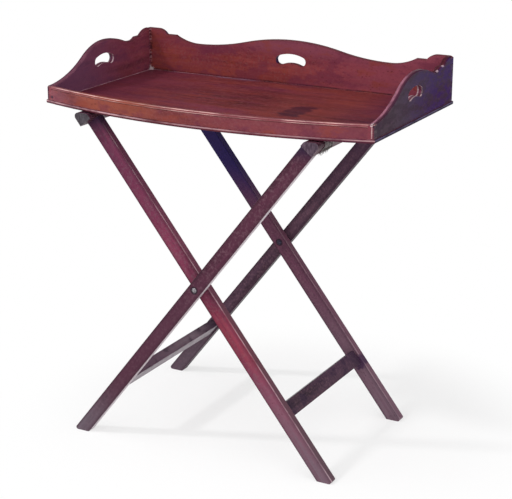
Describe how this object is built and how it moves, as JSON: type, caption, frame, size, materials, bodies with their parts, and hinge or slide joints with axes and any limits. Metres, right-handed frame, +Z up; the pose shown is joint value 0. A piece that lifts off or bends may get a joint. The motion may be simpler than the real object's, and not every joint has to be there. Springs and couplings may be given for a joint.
{
  "type": "butlers tray table",
  "caption": "Scroll-cut mahogany tray with hand holes and a bowed front, resting on a folding cross-legged stand with webbing straps.",
  "frame": {"origin": "on the floor, under the middle of the tray", "axes": "+Z up, +Y to the back (the bowed front faces -Y), +X to the right as seen from the front"},
  "size_m": [0.76, 0.4659, 0.8295],
  "materials": {
    "tray_mahogany": "polished, worn at the edges",
    "stand_mahogany": "satin, worn at the edges",
    "nail_iron": "dull",
    "tack_iron": "dark",
    "rivet_steel": "worn",
    "webbing": "woven, faded"
  },
  "bodies": {
    "outer_frame": {"outer_front_leg": "stand_mahogany", "outer_back_leg": "stand_mahogany", "outer_top_rail": "stand_mahogany", "outer_lower_stretcher": "stand_mahogany", "outer_rail_tacks": "tack_iron", "front_pivot_rivet": "rivet_steel", "back_pivot_rivet": "rivet_steel", "pivot_washers": "rivet_steel", "front_webbing_strap": "webbing", "back_webbing_strap": "webbing"},
    "inner_frame": {"inner_front_leg": "stand_mahogany", "inner_back_leg": "stand_mahogany", "inner_top_rail": "stand_mahogany", "inner_lower_stretcher": "stand_mahogany", "inner_rail_tacks": "tack_iron"},
    "tray": {"tray_floor": "tray_mahogany", "front_rail": "tray_mahogany", "back_gallery": "tray_mahogany", "left_gallery": "tray_mahogany", "right_gallery": "tray_mahogany", "floor_nails": "nail_iron"}
  },
  "joints": [
    {"name": "stand_fold", "type": "hinge", "parent": "outer_frame", "child": "inner_frame", "pos_m": [0, 0, 0.377], "axis": [0, 1, 0], "range_deg": [0, 70], "deforming": ["front_webbing_strap", "back_webbing_strap"]},
    {"name": "tray_lift", "type": "slide", "parent": "outer_frame", "child": "tray", "axis": [0, 0, 1], "range_m": [0, 0.37]}
  ],
  "couplings": [
    {"joint": "tray_lift", "follows": "stand_fold", "m_per_rad": 0.3}
  ]
}
